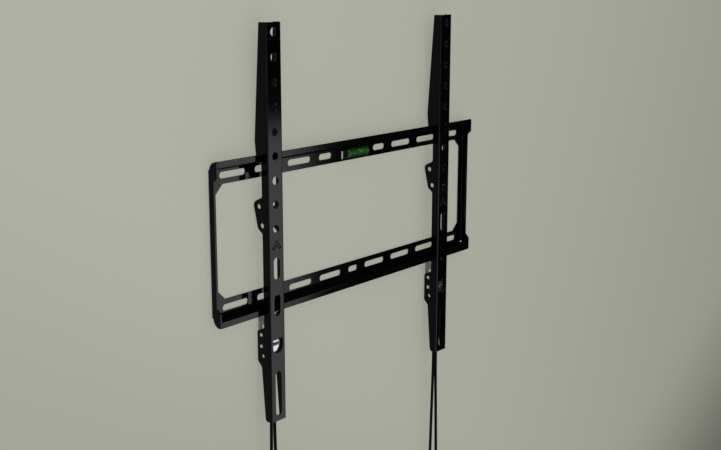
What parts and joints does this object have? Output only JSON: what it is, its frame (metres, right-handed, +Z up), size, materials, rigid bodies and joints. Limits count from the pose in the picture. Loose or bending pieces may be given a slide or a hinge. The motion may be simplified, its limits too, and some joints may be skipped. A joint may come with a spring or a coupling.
{
  "type": "tv wall bracket",
  "caption": "Low-profile wall bracket for a flat screen: a slotted wall plate with a level, and hook-on arms held by spring latches with pull cords.",
  "frame": {"origin": "wall plane at the middle of the wall plate, midway between its two rows of screw slots", "axes": "+Z up, +X to the right along the wall as seen from the room, +Y into the wall"},
  "size_m": [0.4464, 0.0227, 0.6228],
  "materials": {
    "coat": "gloss black powder coat",
    "zinc": "bright zinc plate",
    "pin_steel": "bright zinc plate",
    "spring_steel": "bright drawn wire",
    "cord": "black braid",
    "level_black": "satin moulded",
    "level_clear": "clear acrylic",
    "level_green": "green fluid"
  },
  "bodies": {
    "plate": {"wall_plate": "coat", "level_holder": "level_black", "level_vial": "level_clear", "level_plug": "level_clear", "level_fluid": "level_green"},
    "left_arm_body": {"left_arm": "coat", "left_upper_pin": "pin_steel", "left_lower_pin": "pin_steel", "left_latch_spring": "spring_steel"},
    "left_latch": {"left_latch_slider": "zinc", "left_pull_cord": "cord", "left_cord_knots": "cord"},
    "right_arm_body": {"right_arm": "coat", "right_upper_pin": "pin_steel", "right_lower_pin": "pin_steel", "right_latch_spring": "spring_steel"},
    "right_latch": {"right_latch_slider": "zinc", "right_pull_cord": "cord", "right_cord_knots": "cord"}
  },
  "joints": [
    {"name": "left_arm_slide", "type": "slide", "parent": "plate", "child": "left_arm_body", "axis": [1, 0, 0], "range_m": [-0.059, 0.137]},
    {"name": "left_latch_slide", "type": "slide", "parent": "left_arm_body", "child": "left_latch", "axis": [0, 0, 1], "range_m": [-0.008, 0], "stiffness_N_per_m": 500, "springref_m": 0.012, "deforming": ["left_latch_spring"]},
    {"name": "right_arm_slide", "type": "slide", "parent": "plate", "child": "right_arm_body", "axis": [1, 0, 0], "range_m": [-0.137, 0.059]},
    {"name": "right_latch_slide", "type": "slide", "parent": "right_arm_body", "child": "right_latch", "axis": [0, 0, 1], "range_m": [-0.008, 0], "stiffness_N_per_m": 500, "springref_m": 0.012, "deforming": ["right_latch_spring"]}
  ]
}
